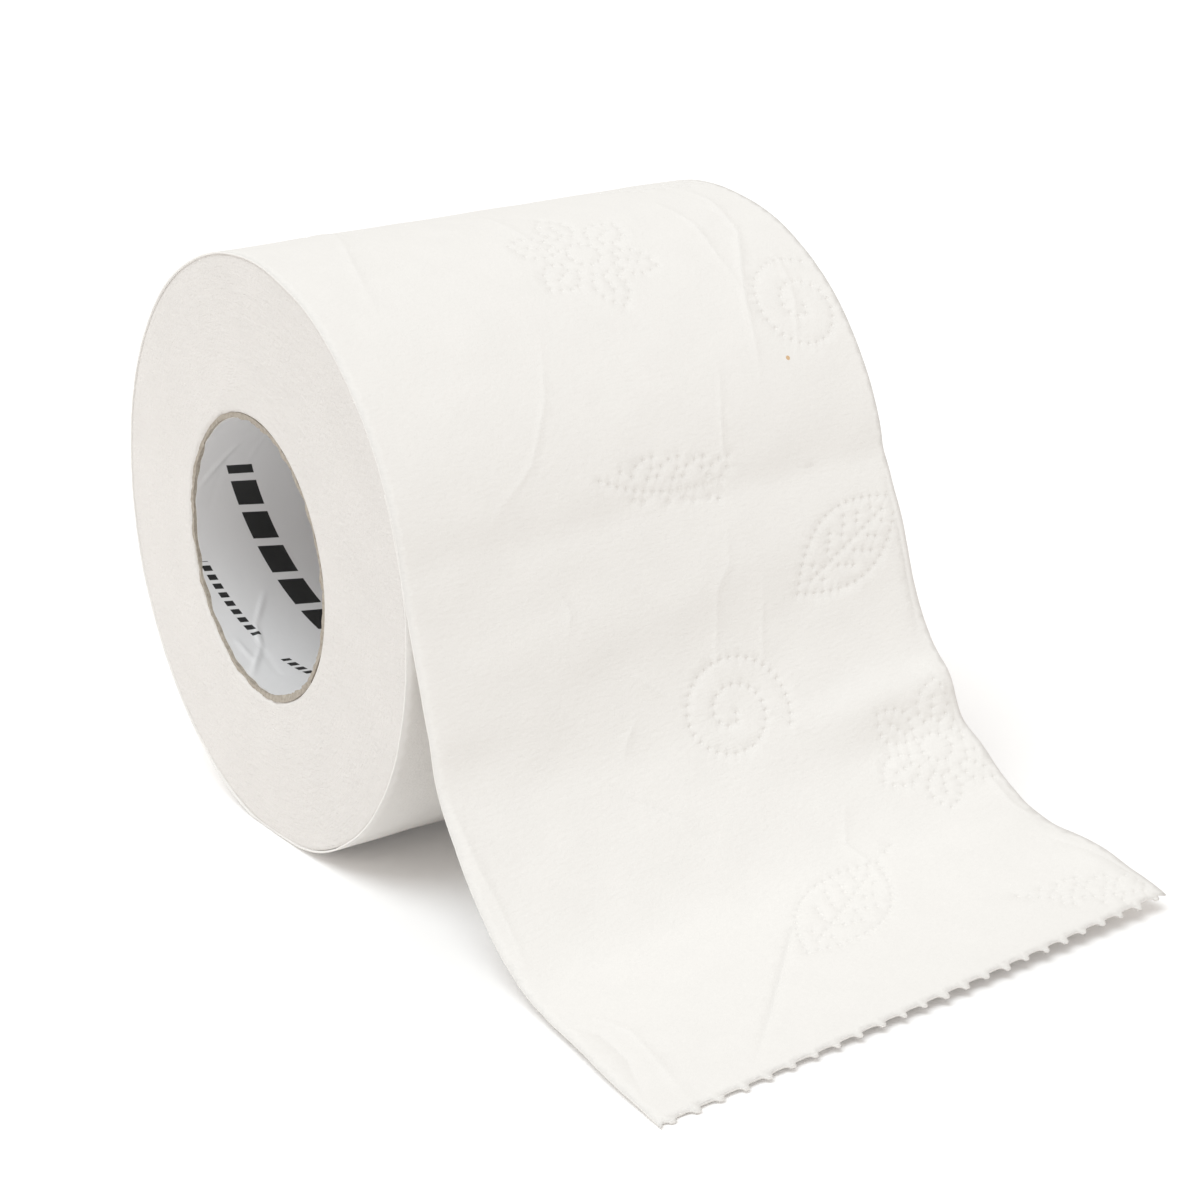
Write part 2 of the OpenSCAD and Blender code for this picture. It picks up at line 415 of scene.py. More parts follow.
# %% Waves and curled edges
WAVES = [
    # along, x, half length along, half width across, height in mm, slant of the crest
    (110.0, 0.0, 2.4, 60.0, -0.22, 0.00),
    (93.0, -8.0, 3.2, 30.0, 0.26, 0.04),
    (83.0, -8.0, 3.6, 28.0, -0.30, 0.04),
    (80.5, -34.0, 3.0, 14.0, 0.22, -0.08),
    (71.5, -32.0, 3.0, 16.0, -0.22, -0.08),
    (64.0, 36.0, 3.0, 14.0, 0.80, 0.02),
    (55.0, 36.0, 3.2, 14.0, -0.90, 0.02),
    (42.0, -20.0, 6.0, 22.0, -0.25, 0.10),
    (34.0, 26.0, 5.0, 20.0, 0.40, 0.05),
    (24.0, 30.0, 4.0, 20.0, -0.25, 0.05),
    (101.0, 26.0, 4.0, 16.0, 0.20, 0.10),
    (128.0, 10.0, 6.0, 30.0, 0.15, 0.05),
    (62.0, 46.0, 3.0, 4.0, 0.45, 0.00),
    (53.0, 46.5, 2.6, 3.5, -0.35, 0.00),
    (36.0, 46.5, 3.0, 3.5, 0.35, 0.00),
    (27.0, 46.0, 3.0, 3.5, -0.30, 0.00),
    (15.0, 46.5, 3.4, 3.0, 0.30, 0.00),
    (17.0, -46.5, 7.0, 1.8, 0.14, 0.00),
    (148.0, -22.0, 5.0, 16.0, 0.16, 0.15),
    (18.0, 0.0, 4.5, 18.0, 0.22, -0.12),
    (68.0, 8.0, 3.2, 12.0, 0.16, 0.20),
]
WAVE_GAIN = 1.3
NEAR_FOLD = 2.0
NEAR_DROOP = 0.28
FAR_CURL = 3.0
FAR_DROOP = 0.8

def waves(along, x):
    """How far the soft waves lift the web off its path."""
    height = np.zeros_like(along)
    for at, mid, half_along, half_x, lift, slant in WAVES:
        u = (along - at - slant * (x - mid)) / half_along
        v = (x - mid) / half_x
        height += WAVE_GAIN * lift * np.exp(-0.5 * (u * u + v * v))
    faint = 0.12 * np.sin(along / 6.1 + 0.8 * np.sin(x / 9.0)) * np.sin(x / 11.0 + along / 23.0)
    faint += 0.07 * np.sin(along / 3.3 - x / 7.0 + 1.3) * np.sin(x / 5.2 - along / 31.0)
    faint += 0.03 * np.sin(along / 1.7 + x / 4.3) * np.sin(x / 2.3 - along / 5.9 + 0.7)
    return height + faint

def edge_droop(along, x):
    """The near edge is folded down by a thread's width, and the far edge curls back."""
    on_sheet = 1 - smooth(along, 0.85 * SHEET_LEN, SHEET_LEN)
    near = smooth(-x, HALF_W - NEAR_FOLD, HALF_W) * smooth(along, 36, 60)
    far = smooth(x, HALF_W - FAR_CURL, HALF_W) * (0.6 + 0.4 * np.sin(along / 4.0))
    return -(NEAR_DROOP * near + FAR_DROOP * far) * on_sheet

def relief(along, x):
    """Every smooth height of the web in mm, outwards from its path."""
    calm = smooth(along, -1, 6) * (1 - smooth(along, WEB_END - TUCKED - 4, WEB_END - TUCKED))
    return (waves(along, x) + edge_droop(along, x)) * calm

# %% [markdown]
# ## The last turn and the loose sheet
#
# The sheet is cut out flat first: an outline with the torn ties along one end, filled
# with triangles that are small round the dots and creases and larger elsewhere. A
# Delaunay fill does this in one call, where a regular grid fine enough for the dots
# would need ten times the triangles. Then every point is carried to its place in space.
# A second, coarser fill of the same outline makes the back, and a narrow wall joins
# them, so the sheet is a closed solid as thin as real embossed tissue.

# %% Outline of the torn edge
TIES = 24
TIE_PITCH = 2 * HALF_W / TIES
TIE_LEN = 1.15
EDGE_STEP = 1.2

def torn_edge(seed=7):
    """The end of the web from -X to +X, as (along, x): ties stand out, the cuts bow in."""
    rng = np.random.default_rng(seed)
    points = []
    for i in range(TIES):
        mid = -HALF_W + TIE_PITCH * (i + 0.5) + rng.uniform(-0.12, 0.12)
        tip = TIE_LEN * rng.uniform(0.0, 0.28)
        wide = rng.uniform(0.85, 1.2)
        shape = [
            (-1.75, 1.2), (-1.25, 1.18), (-0.85, 1.05), (-0.58, 0.8), (-0.42, 0.4),
            (-0.32, 0.12), (0.0, 0.05), (0.25, 0.0), (0.42, 0.14), (0.5, 0.55), (0.58, 1.0),
            (1.1, 1.2), (1.6, 1.24),
        ]
        for dx, depth in shape:
            points.append((tip + depth * (TIE_LEN - tip) / 1.2, mid + dx * (wide if abs(dx) < 1 else 1)))
    points[0] = (0.35, -HALF_W)
    points[-1] = (0.5, HALF_W)
    return points

def side_edge(x, start, end, seed):
    """A side of the web: the knife's cut, with a trace of wander."""
    rng = np.random.default_rng(seed)
    n = round(abs(end - start) / EDGE_STEP)
    steps = np.linspace(start, end, n + 1)[1:-1]
    wander = np.convolve(rng.normal(0, 1, n + 8), np.ones(9) / 9, "valid")[:n - 1] * 0.10
    return [(a, x + w) for a, w in zip(steps, wander)]

def web_outline():
    torn = torn_edge()
    far = side_edge(HALF_W, torn[-1][0], WEB_END, 11)
    end = [(WEB_END, x) for x in np.arange(HALF_W, -HALF_W - 0.1, -2.0)]
    near = side_edge(-HALF_W, WEB_END, torn[0][0], 12)
    return np.array(torn + far + end + near)

OUTLINE = web_outline()
print("points round the web:", len(OUTLINE))

# %% Fill the outline with triangles
FRONT_STEP = 1.6
BACK_STEP = 2.6
KEEP_OFF = 0.75

def grid_points(step, keep_off, others):
    """A regular grid inside the web, away from its edges and from other points."""
    rows = np.arange(2 * EDGE_ROOM, WEB_END - step / 2, step)
    columns = np.linspace(-HALF_W + step * 0.8, HALF_W - step * 0.8, round(2 * HALF_W / step))
    grid = np.array([(a, x + (i % 2) * 0.3 * step) for i, a in enumerate(rows) for x in columns])
    grid = grid[np.abs(grid[:, 1]) < HALF_W - 0.5 * step]
    taken = {}
    for point in others:
        taken.setdefault((int(point[0] // keep_off), int(point[1] // keep_off)), []).append(point)
    kept = []
    for point in grid:
        i, j = int(point[0] // keep_off), int(point[1] // keep_off)
        near = [q for di in (-1, 0, 1) for dj in (-1, 0, 1) for q in taken.get((i + di, j + dj), ())]
        if all((point[0] - q[0]) ** 2 + (point[1] - q[1]) ** 2 > keep_off ** 2 for q in near):
            kept.append(point)
    return np.array(kept)

def is_inside(outline, points):
    """Which points lie inside an outline, by counting the sides beyond each."""
    a, b = outline, np.roll(outline, -1, axis=0)
    u, v = points[:, :1], points[:, 1:]
    spans = (a[:, 1] > v) != (b[:, 1] > v)
    slope = (b[:, 0] - a[:, 0]) / np.where(a[:, 1] == b[:, 1], 1, b[:, 1] - a[:, 1])
    return (spans & (u < a[:, 0] + (v - a[:, 1]) * slope)).sum(axis=1) % 2 == 1

def fill(outline, inner):
    """Triangles over an outline and inner points. The outline's points come first."""
    places = np.vstack([outline, inner])
    n = len(outline)
    sides = [(i, (i + 1) % n) for i in range(n)]
    made = delaunay_2d_cdt([Vector(p) for p in places], sides, [], 0, 1e-5, True)
    source = [i[0] for i in made[3]]
    faces = np.array([[source[v] for v in face] for face in made[2]])
    at_rim = np.where((faces < n).all(axis=1))[0]
    outside = at_rim[~is_inside(outline, places[faces[at_rim]].mean(axis=1))]
    return [tuple(int(v) for v in face) for face in np.delete(faces, outside, axis=0)]

def dot_points():
    """Rings of points round every dot, as (along, x, height)."""
    rows = [np.column_stack([DOTS, np.full(len(DOTS), -DOT_DEPTH)])]
    for radius, share in ((DOT_INNER_R, 0.72), (DOT_R, 0.0)):
        for i in range(DOT_SIDES):
            a = 2 * math.pi * i / DOT_SIDES
            at = DOTS + (radius * math.cos(a), radius * math.sin(a))
            rows.append(np.column_stack([at, np.full(len(DOTS), -DOT_DEPTH * share)]))
    return np.vstack(rows)

details = dot_points()
gap_to_dots = [
    np.min(np.sum((DOTS - p[:2]) ** 2, axis=1)) > (DOT_R + 0.25) ** 2 for p in CREASE_POINTS
]
details = np.vstack([details, CREASE_POINTS[np.array(gap_to_dots)]])
front_grid = grid_points(FRONT_STEP, KEEP_OFF, np.vstack([details[:, :2], OUTLINE]))
front_inner = np.vstack([details, np.column_stack([front_grid, np.zeros(len(front_grid))])])
back_inner = grid_points(BACK_STEP, KEEP_OFF, OUTLINE)
front_faces = fill(OUTLINE, front_inner[:, :2])
back_faces = fill(OUTLINE, back_inner)
print("triangles in front", len(front_faces), "and at the back", len(back_faces))

# %% Carry the flat web into space
def new_object(name, points, faces):
    """A mesh object from points in mm and faces."""
    mesh = bpy.data.meshes.new(name)
    mesh.from_pydata([tuple(p) for p in np.asarray(points) * MM], [], faces)
    mesh.validate()
    mesh.polygons.foreach_set("use_smooth", [True] * len(mesh.polygons))
    made = bpy.data.objects.new(name, mesh)
    bpy.context.scene.collection.objects.link(made)
    return made

def add_uv(made, name, flat):
    """A UV map in metres, from one (u, v) in mm for each vertex."""
    layer = made.data.uv_layers.new(name=name)
    loops = np.zeros(len(made.data.loops), int)
    made.data.loops.foreach_get("vertex_index", loops)
    layer.data.foreach_set("uv", (np.asarray(flat)[loops] * MM).ravel())

def lifted(along, x, height):
    """Points of the web at a height over its path, kept above the floor."""
    point = web_point(along, x) + web_normal(along, x) * height[:, None]
    point[:, 2] = np.maximum(point[:, 2], FLOOR + LEAST_GAP)
    return point

def make_sheet():
    edge = np.column_stack([OUTLINE, np.zeros(len(OUTLINE))])
    front = np.vstack([edge, front_inner])
    back = np.vstack([edge, np.column_stack([back_inner, np.zeros(len(back_inner))])])
    top = lifted(front[:, 0], front[:, 1], relief(front[:, 0], front[:, 1]) + front[:, 2])
    under = lifted(back[:, 0], back[:, 1], relief(back[:, 0], back[:, 1]) - SHEET_T)
    clear = FLOOR + LEAST_GAP + SHEET_T
    top[:, 2] = np.maximum(top[:, 2], clear)
    n, m = len(front), len(OUTLINE)
    faces = [face[::-1] for face in front_faces]
    faces += [tuple(v + n for v in face) for face in back_faces]
    faces += [(i, (i + 1) % m, (i + 1) % m + n, i + n) for i in range(m)]
    made = new_object("loose_sheet", np.vstack([top, under]), faces)
    add_uv(made, "web", np.vstack([front, back])[:, [1, 0]])
    return made

def outwards(made):
    """Turns all faces of a closed mesh outwards."""
    data = bmesh.new()
    data.from_mesh(made.data)
    bmesh.ops.recalc_face_normals(data, faces=data.faces)
    volume = data.calc_volume(signed=True)
    if volume < 0:
        bmesh.ops.reverse_faces(data, faces=data.faces)
    open_edges = sum(1 for e in data.edges if not e.is_manifold)
    data.to_mesh(made.data)
    data.free()
    count = len(made.data.polygons)
    print(made.name, "faces", count, "open edges", open_edges, "cm3", abs(volume) * 1e6)

loose_sheet = make_sheet()
outwards(loose_sheet)

# %% [markdown]
# ## The wound web
#
# Behind the last turn the web goes on for about ninety turns. What shows of them is
# their cut edges on the two ends: a fine spiral, pressed soft by the saw, with single
# turns that stand out for a short way. The mesh follows the real spiral: each ring of
# points climbs by one pitch while it goes round, and is joined to the next ring where
# it closes. The pitch drawn is 0.5 mm, where the real one is about 0.3 mm, because real
# turns are only about a pixel apart in the picture.

# %% Sizes of the turns
CORE_R = tube_high.z
PITCH = 0.5
RINGS_PER_TURN = 2
AROUND = 288
EDGE_RELIEF = 0.02
RIM_ROUND = 0.8
RIM_SINK = 0.14
CORE_SINK = 0.45
END_INSET = 0.12

def end_height(radius, outer, angle, line, seed):
    """How far the cut edges stand out of an end, in mm, negative when sunk."""
    rim = np.clip((radius - outer + RIM_ROUND) / RIM_ROUND, 0, 1)
    inner = np.clip((CORE_R + RIM_ROUND - radius) / RIM_ROUND, 0, 1)
    a = np.radians(angle)
    streak = np.array([
        noise.noise(Vector((r * 1.3, math.cos(t) * 3.2 + seed, math.sin(t) * 3.2)))
        for r, t in zip(radius.ravel(), a.ravel())
    ]).reshape(radius.shape)
    broad = 0.07 * np.sin(radius / 4.7 + 2 * a + seed) + 0.05 * np.sin(radius / 2.9 - a)
    turns = line * EDGE_RELIEF * (0.7 + 1.4 * streak)
    return turns + broad + 0.03 * streak - RIM_SINK * rim ** 2 - CORE_SINK * inner ** 2

def spiral_end(x, sign, seed):
    """Rows of points over one end, from the core outwards: rows of (x, y, z)."""
    angle = np.linspace(0, 360, AROUND + 1)[:-1]
    outer = turns_radius(angle, x) - SHEET_T - TURN_T * ((LEAVE_NEAR - angle) % 360) / 360
    half = PITCH / RINGS_PER_TURN
    count = int((outer.max() - CORE_R) / half) + 1
    rows = []
    for k in range(-RINGS_PER_TURN, count + 1):
        reach = CORE_R + half * k + PITCH * angle / 360
        share = np.clip((reach - CORE_R) / (outer.mean() - CORE_R), 0, 1)
        radius = CORE_R + share * (outer - CORE_R)
        line = np.full(AROUND, 1.0 if k % 2 else -1.0)
        out = end_height(radius, outer, angle, line, seed)
        centre_y = TURNS_Y * share
        centre_z = TURNS_Z * share
        y = centre_y + radius * np.cos(np.radians(angle))
        z = centre_z + radius * np.sin(np.radians(angle))
        rest = FLOOR + FLOOR_GAP + SHEET_T
        z = rest + FLAT_SOFTNESS * np.logaddexp(0, (z - rest) / FLAT_SOFTNESS)
        rows.append(np.column_stack([np.full(AROUND, x) + sign * out, y, z]))
    return rows

def join_spiral(rows, first):
    """Quads between the rows of a spiral, which shift by one turn where they close."""
    faces = []
    last = len(rows) - 1
    for k in range(last):
        for i in range(AROUND):
            if i < AROUND - 1:
                a, b = (k, i + 1), (k + 1, i + 1)
            else:
                a, b = (min(k + RINGS_PER_TURN, last), 0), (min(k + 1 + RINGS_PER_TURN, last), 0)
            corner = [(k, i), a, b, (k + 1, i)]
            faces.append(tuple(first + r * AROUND + c for r, c in corner))
    return faces

near_rows = spiral_end(-HALF_W + END_INSET, -1, 3.0)
far_rows = spiral_end(HALF_W - END_INSET, 1, 9.0)
print("rings on an end:", len(near_rows))

# %% Join the two ends into the wound web
SIDE_STEPS = 12

def make_wound_web():
    near = np.vstack(near_rows)
    far = np.vstack(far_rows)
    faces = join_spiral(near_rows, 0) + join_spiral(far_rows, len(near))
    points = [near, far]
    total = len(near) + len(far)
    edges = [
        ((len(near_rows) - 1) * AROUND, len(near) + (len(far_rows) - 1) * AROUND, 1.0),
        (0, len(near), 0.0),
    ]
    for near_first, far_first, share in edges:
        loops = [near_first]
        for s in range(1, SIDE_STEPS):
            t = s / SIDE_STEPS
            a = near[near_first:near_first + AROUND]
            b = far[far_first - len(near):far_first - len(near) + AROUND]
            points.append(a + (b - a) * t)
            loops.append(total)
            total += AROUND
        loops.append(far_first)
        for low, high in zip(loops[:-1], loops[1:]):
            for i in range(AROUND):
                j = (i + 1) % AROUND
                faces.append((low + i, low + j, high + j, high + i))
    made = new_object("wound_web", np.vstack(points), faces)
    data = bmesh.new()
    data.from_mesh(made.data)
    bmesh.ops.remove_doubles(data, verts=data.verts, dist=0.004 * MM)
    bmesh.ops.dissolve_degenerate(data, edges=data.edges, dist=0.002 * MM)
    data.to_mesh(made.data)
    data.free()
    return made

wound_web = make_wound_web()
outwards(wound_web)
bpy.ops.object.select_all(action="DESELECT")

# %% [markdown]
# ## The core
#
# A paper core is wound from strips of board on a steel rod and sawn to length, so it is
# a true tube with rough ends. Each tube starts as a cylinder without caps. Planes cut
# extra rings into it where its ends are torn, a Solidify modifier gives the wall its
# thickness, and then the end rings are moved point by point, as a saw and a thumb would.

# %% A tube with extra rings
def make_tube(name, radius, wall, half_len, sides, cuts):
    """An open cylinder along X, cut at each X of cuts, with a wall grown inwards."""
    bpy.ops.mesh.primitive_cylinder_add(
        vertices=sides, radius=radius * MM, depth=2 * half_len * MM,
        end_fill_type="NOTHING", rotation=(0, math.pi / 2, 0),
    )
    made = bpy.context.object
    made.name = name
    bpy.ops.object.transform_apply(location=False, rotation=True, scale=True)
    bpy.ops.object.mode_set(mode="EDIT")
    for x in cuts:
        bpy.ops.mesh.select_all(action="SELECT")
        bpy.ops.mesh.bisect(plane_co=(x * MM, 0, 0), plane_no=(1, 0, 0))
    bpy.ops.mesh.select_all(action="SELECT")
    bpy.ops.mesh.normals_make_consistent(inside=False)
    bpy.ops.object.mode_set(mode="OBJECT")
    wall_modifier = made.modifiers.new("wall", "SOLIDIFY")
    wall_modifier.thickness = wall * MM
    wall_modifier.offset = -1
    bpy.ops.object.modifier_apply(modifier="wall")
    bpy.ops.object.shade_smooth_by_angle(angle=math.radians(40))
    made.select_set(False)
    return made

def moved(made, change):
    """Moves every vertex by a function of its place in mm: (x, angle, radius)."""
    for vertex in made.data.vertices:
        x, y, z = (c / MM for c in vertex.co)
        angle, radius = math.atan2(z, y), math.hypot(y, z)
        x, angle, radius = change(x, angle, radius)
        vertex.co = Vector((x, radius * math.cos(angle), radius * math.sin(angle))) * MM
    made.data.update()

# %% Board tube
LINER_OUT = liner_high.z
BOARD_T = CORE_R - LINER_OUT
TUBE_HALF = tube_high.x

def ragged_board(x, angle, radius):
    """The sawn end of the board wanders, and is split and turned in where it was hit."""
    end = max(0.0, (abs(x) - TUBE_HALF + 3) / 3)
    side = -1 if x < 0 else 1
    rough = noise.noise(Vector((angle * 9, side * 5.0, radius * 0.7)))
    fine = noise.noise(Vector((angle * 40, side * 2.0, radius * 3.0)))
    x += side * end ** 3 * (0.35 * rough + 0.18 * fine + 0.1)
    arc = math.degrees(angle)
    hit = math.exp(-((arc + 112) / 16) ** 2) + 0.6 * math.exp(-((arc - 100) / 22) ** 2)
    inner = (CORE_R - radius) / BOARD_T
    radius -= end ** 2 * inner * hit * (0.55 + 0.35 * fine)
    x -= side * end ** 3 * inner * hit * 0.35
    return x, angle, radius

board_cuts = [s * (TUBE_HALF - d) for s in (-1, 1) for d in (3.0, 2.2, 1.5, 0.9, 0.4)]
core_board = make_tube("core_board", CORE_R, BOARD_T, TUBE_HALF, 240, board_cuts)
moved(core_board, ragged_board)
print("core board:", len(core_board.data.polygons), "faces")

# %% Lining
BORE_R = 24.25
LINER_T = LINER_OUT - BORE_R
LINER_HALF = liner_high.x
WRINKLE_R = 0.42
DIP_SHARE = 0.4
WRINKLES = [
    # x, degrees, x, degrees, depth in mm
    (-40.5, 40, -46.8, 18, 0.34),
    (-41.5, 33, -44.5, 8, -0.22),
    (-36.6, -33, -40.6, -47, 0.32),
    (-40.6, -47, -41.6, -58, 0.45),
    (-41.6, -58, -46.6, -74, 0.48),
    (-41.6, -58, -42.0, -78, -0.30),
    (-45.4, -52, -44.2, -66, 0.26),
    (-33.0, 60, -38.0, 25, 0.12),
]

def wrinkled(x, angle, radius):
    """Wrinkles are short ridges. A dip stays in the ply, or the board would show."""
    lift = 0.0
    arc = math.degrees(angle)
    for x0, a0, x1, a1, depth in WRINKLES:
        ax, ay = (x1 - x0), (a1 - a0) * math.radians(1) * radius
        px, py = (x - x0), (arc - a0) * math.radians(1) * radius
        t = min(1.0, max(0.0, (px * ax + py * ay) / (ax * ax + ay * ay)))
        away = math.hypot(px - t * ax, py - t * ay)
        lift += depth * math.sin(math.pi * (0.1 + 0.8 * t)) * math.exp(-(away / WRINKLE_R) ** 2)
    lift += 0.06 * noise.noise(Vector((x * 0.12, math.cos(angle) * 2.5, math.sin(angle) * 2.5)))
    lift = max(lift, -DIP_SHARE * LINER_T)
    end = max(0.0, (abs(x) - LINER_HALF + 2) / 2)
    rough = noise.noise(Vector((angle * 7, 3.0, 0)))
    x -= math.copysign(end ** 3 * (0.45 + 0.4 * rough), x)
    return x, angle, radius - lift

liner_cuts = [-LINER_HALF + d for d in np.arange(0.45, 16, 0.45)]
liner_cuts += [-20.0, 0.0, 20.0] + [LINER_HALF - d for d in (2.0, 1.4, 0.8, 0.4)]
core_lining = make_tube("core_lining", LINER_OUT, LINER_T, LINER_HALF, 420, liner_cuts)
moved(core_lining, wrinkled)
print("core lining:", len(core_lining.data.polygons), "faces")

def tube_uv(made, radius):
    """A UV map in mm over a tube: the arc round it and X along it."""
    layer = made.data.uv_layers.new(name="print")
    for face in made.data.polygons:
        arcs = []
        for loop in face.loop_indices:
            co = made.data.vertices[made.data.loops[loop].vertex_index].co
            arcs.append(math.atan2(co.z, co.y))
        if max(arcs) - min(arcs) > math.pi:
            arcs = [a + 2 * math.pi if a < 0 else a for a in arcs]
        for loop, arc in zip(face.loop_indices, arcs):
            co = made.data.vertices[made.data.loops[loop].vertex_index].co
            layer.data[loop].uv = (arc * radius, co.x / MM)

for layer in list(core_lining.data.uv_layers):
    core_lining.data.uv_layers.remove(layer)
tube_uv(core_lining, BORE_R)

# %% [markdown]
# ## Materials
#
# Each finish starts from what the real one is made of, and its pattern from a real
# size. Colours are sRGB hex values that one function turns to linear.

# %% Colour and node helpers
def linear(hex_colour):
    """An sRGB hex colour as linear RGBA."""
    parts = [int(hex_colour[i:i + 2], 16) / 255 for i in (1, 3, 5)]
    return tuple(c / 12.92 if c <= 0.04045 else ((c + 0.055) / 1.055) ** 2.4 for c in parts) + (1.0,)

def new_material(name):
    material = bpy.data.materials.new(name)
    material.use_nodes = True
    return material, material.node_tree, material.node_tree.nodes["Principled BSDF"]

def add(tree, kind, settings=None, **inputs):
    """Adds a node. An input is a value, or another node's output to link to it.
    Inputs are named, or numbered as i0, i1 and so on."""
    node = tree.nodes.new(kind)
    for key, value in (settings or {}).items():
        setattr(node, key, value)
    for key, value in inputs.items():
        socket = node.inputs[int(key[1:])] if key[1:].isdigit() else node.inputs[key.replace("_", " ")]
        if isinstance(value, bpy.types.NodeSocket):
            tree.links.new(value, socket)
        else:
            socket.default_value = value
    return node

# %% [markdown]
# Tissue is bleached cellulose, creped off a hot drum by a blade: it scatters light like
# chalk, with no gloss. The blade leaves fine ripples across the web, about 0.4 mm
# apart, which are drawn 0.6 mm apart here so that they show. The fibres lie in soft
# clouds a few millimetres wide.

# %% Tissue
FLECK = (0.0325, 0.1284, 0.0)
FLECK_R = 0.0004

def tissue():
    material, tree, shader = new_material("embossed_tissue")
    uv = add(tree, "ShaderNodeUVMap", {"uv_map": "web"}).outputs[0]
    clouds = add(tree, "ShaderNodeTexNoise", Vector=uv, Scale=1 / 0.006, Detail=3.0)
    tone = add(tree, "ShaderNodeMix", {"data_type": "RGBA"}, Factor=clouds.outputs[0])
    tone.inputs[6].default_value = linear("#e9e6e2")
    tone.inputs[7].default_value = linear("#edeae6")
    away = add(tree, "ShaderNodeVectorMath", {"operation": "DISTANCE"}, i0=uv, i1=FLECK)
    in_fleck = add(tree, "ShaderNodeMath", {"operation": "LESS_THAN"}, i0=away.outputs[1], i1=FLECK_R)
    flecked = add(tree, "ShaderNodeMix", {"data_type": "RGBA"}, Factor=in_fleck.outputs[0])
    tree.links.new(tone.outputs[2], flecked.inputs[6])
    flecked.inputs[7].default_value = linear("#d6b48e")
    tree.links.new(flecked.outputs[2], shader.inputs["Base Color"])
    shader.inputs["Roughness"].default_value = 0.95
    shader.inputs["Specular IOR Level"].default_value = 0.15
    stretched = add(tree, "ShaderNodeMapping", Vector=uv, Scale=(0.35, 1.0, 1.0))
    crepe = add(tree, "ShaderNodeTexNoise", Vector=stretched.outputs[0], Scale=1 / 0.0006, Detail=2.0)
    fibre = add(tree, "ShaderNodeTexNoise", Vector=uv, Scale=1 / 0.0012, Detail=4.0, Roughness=0.7)
    first = add(tree, "ShaderNodeBump", Strength=0.5, Distance=0.00014, Height=crepe.outputs[0])
    second = add(tree, "ShaderNodeBump", Strength=0.4, Distance=0.0003, Height=fibre.outputs[0],
                 Normal=first.outputs[0])
    tree.links.new(second.outputs[0], shader.inputs["Normal"])
    return material

# %% [markdown]
# The sawn ends are the same paper, but cut: short fuzz and faint arcs along the turns.

# %% Sawn ends of the turns
ARC_PER_TURN = 14.0

def sawn_tissue():
    material, tree, shader = new_material("sawn_tissue_edges")
    place = add(tree, "ShaderNodeTexCoord").outputs["Object"]
    section = add(tree, "ShaderNodeVectorMath", {"operation": "MULTIPLY"}, i0=place, i1=(0.0, 1.0, 1.0))
    radius = add(tree, "ShaderNodeVectorMath", {"operation": "LENGTH"}, i0=section.outputs[0])
    towards = add(tree, "ShaderNodeVectorMath", {"operation": "NORMALIZE"}, i0=section.outputs[0])
    spread = add(tree, "ShaderNodeVectorMath", {"operation": "SCALE"},
                 i0=towards.outputs[0], i3=ARC_PER_TURN)
    ring_at = add(tree, "ShaderNodeMath", {"operation": "MULTIPLY"},
                  i0=radius.outputs[1], i1=1 / 0.00035)
    outwards_by = add(tree, "ShaderNodeCombineXYZ", X=ring_at.outputs[0])
    wound = add(tree, "ShaderNodeVectorMath", {"operation": "ADD"},
                i0=spread.outputs[0], i1=outwards_by.outputs[0])
    streaks = add(tree, "ShaderNodeTexNoise", Vector=wound.outputs[0], Scale=1.0, Detail=2.0)
    fuzz = add(tree, "ShaderNodeTexNoise", Vector=place, Scale=1 / 0.0009, Detail=4.0, Roughness=0.7)
    broad = add(tree, "ShaderNodeTexNoise", Vector=place, Scale=1 / 0.012, Detail=2.0)
    tone = add(tree, "ShaderNodeMix", {"data_type": "RGBA"}, Factor=broad.outputs[0])
    tone.inputs[6].default_value = linear("#dfdbd7")
    tone.inputs[7].default_value = linear("#e5e1dd")
    tree.links.new(tone.outputs[2], shader.inputs["Base Color"])
    shader.inputs["Roughness"].default_value = 1.0
    shader.inputs["Specular IOR Level"].default_value = 0.1
    arcs = add(tree, "ShaderNodeBump", Strength=0.5, Distance=0.00025, Height=streaks.outputs[0])
    bump = add(tree, "ShaderNodeBump", Strength=0.7, Distance=0.0006, Height=fuzz.outputs[0],
               Normal=arcs.outputs[0])
    tree.links.new(bump.outputs[0], shader.inputs["Normal"])
    return material

# %% Grey board
def grey_board():
    material, tree, shader = new_material("recycled_grey_board")
    place = add(tree, "ShaderNodeTexCoord").outputs["Object"]
    fibre = add(tree, "ShaderNodeTexNoise", Vector=place, Scale=1 / 0.0007, Detail=4.0)
    tone = add(tree, "ShaderNodeMix", {"data_type": "RGBA"}, Factor=fibre.outputs[0])
    tone.inputs[6].default_value = linear("#7f7569")
    tone.inputs[7].default_value = linear("#c4bbae")
    tree.links.new(tone.outputs[2], shader.inputs["Base Color"])
    shader.inputs["Roughness"].default_value = 0.9
    bump = add(tree, "ShaderNodeBump", Strength=0.6, Distance=0.0003, Height=fibre.outputs[0])
    tree.links.new(bump.outputs[0], shader.inputs["Normal"])
    return material

# %% [markdown]
# The lining is a thin coated paper, which gives it a silky grey sheen. It is printed
# before the tube is wound, so its marks climb round the tube in a helix: a row of bold
# slanted blocks and a row of small dashes. Lines in the flat print are worked out from
# the arc round the tube and the X along it, both in millimetres.

# %% Printed lining
HELIX_RISE = 0.33
HELIX_RUN = 0.944
LEAD = 2 * math.pi * BORE_R * HELIX_RISE
ROUND = 2 * math.pi * BORE_R * HELIX_RUN
BLOCK_ROW = -33.3
BLOCK_HALF = 2.3
BLOCKS_ROUND = 20
DASH_ROW = -46.2
DASH_HALF = 0.75
DASHES_ROUND = 76

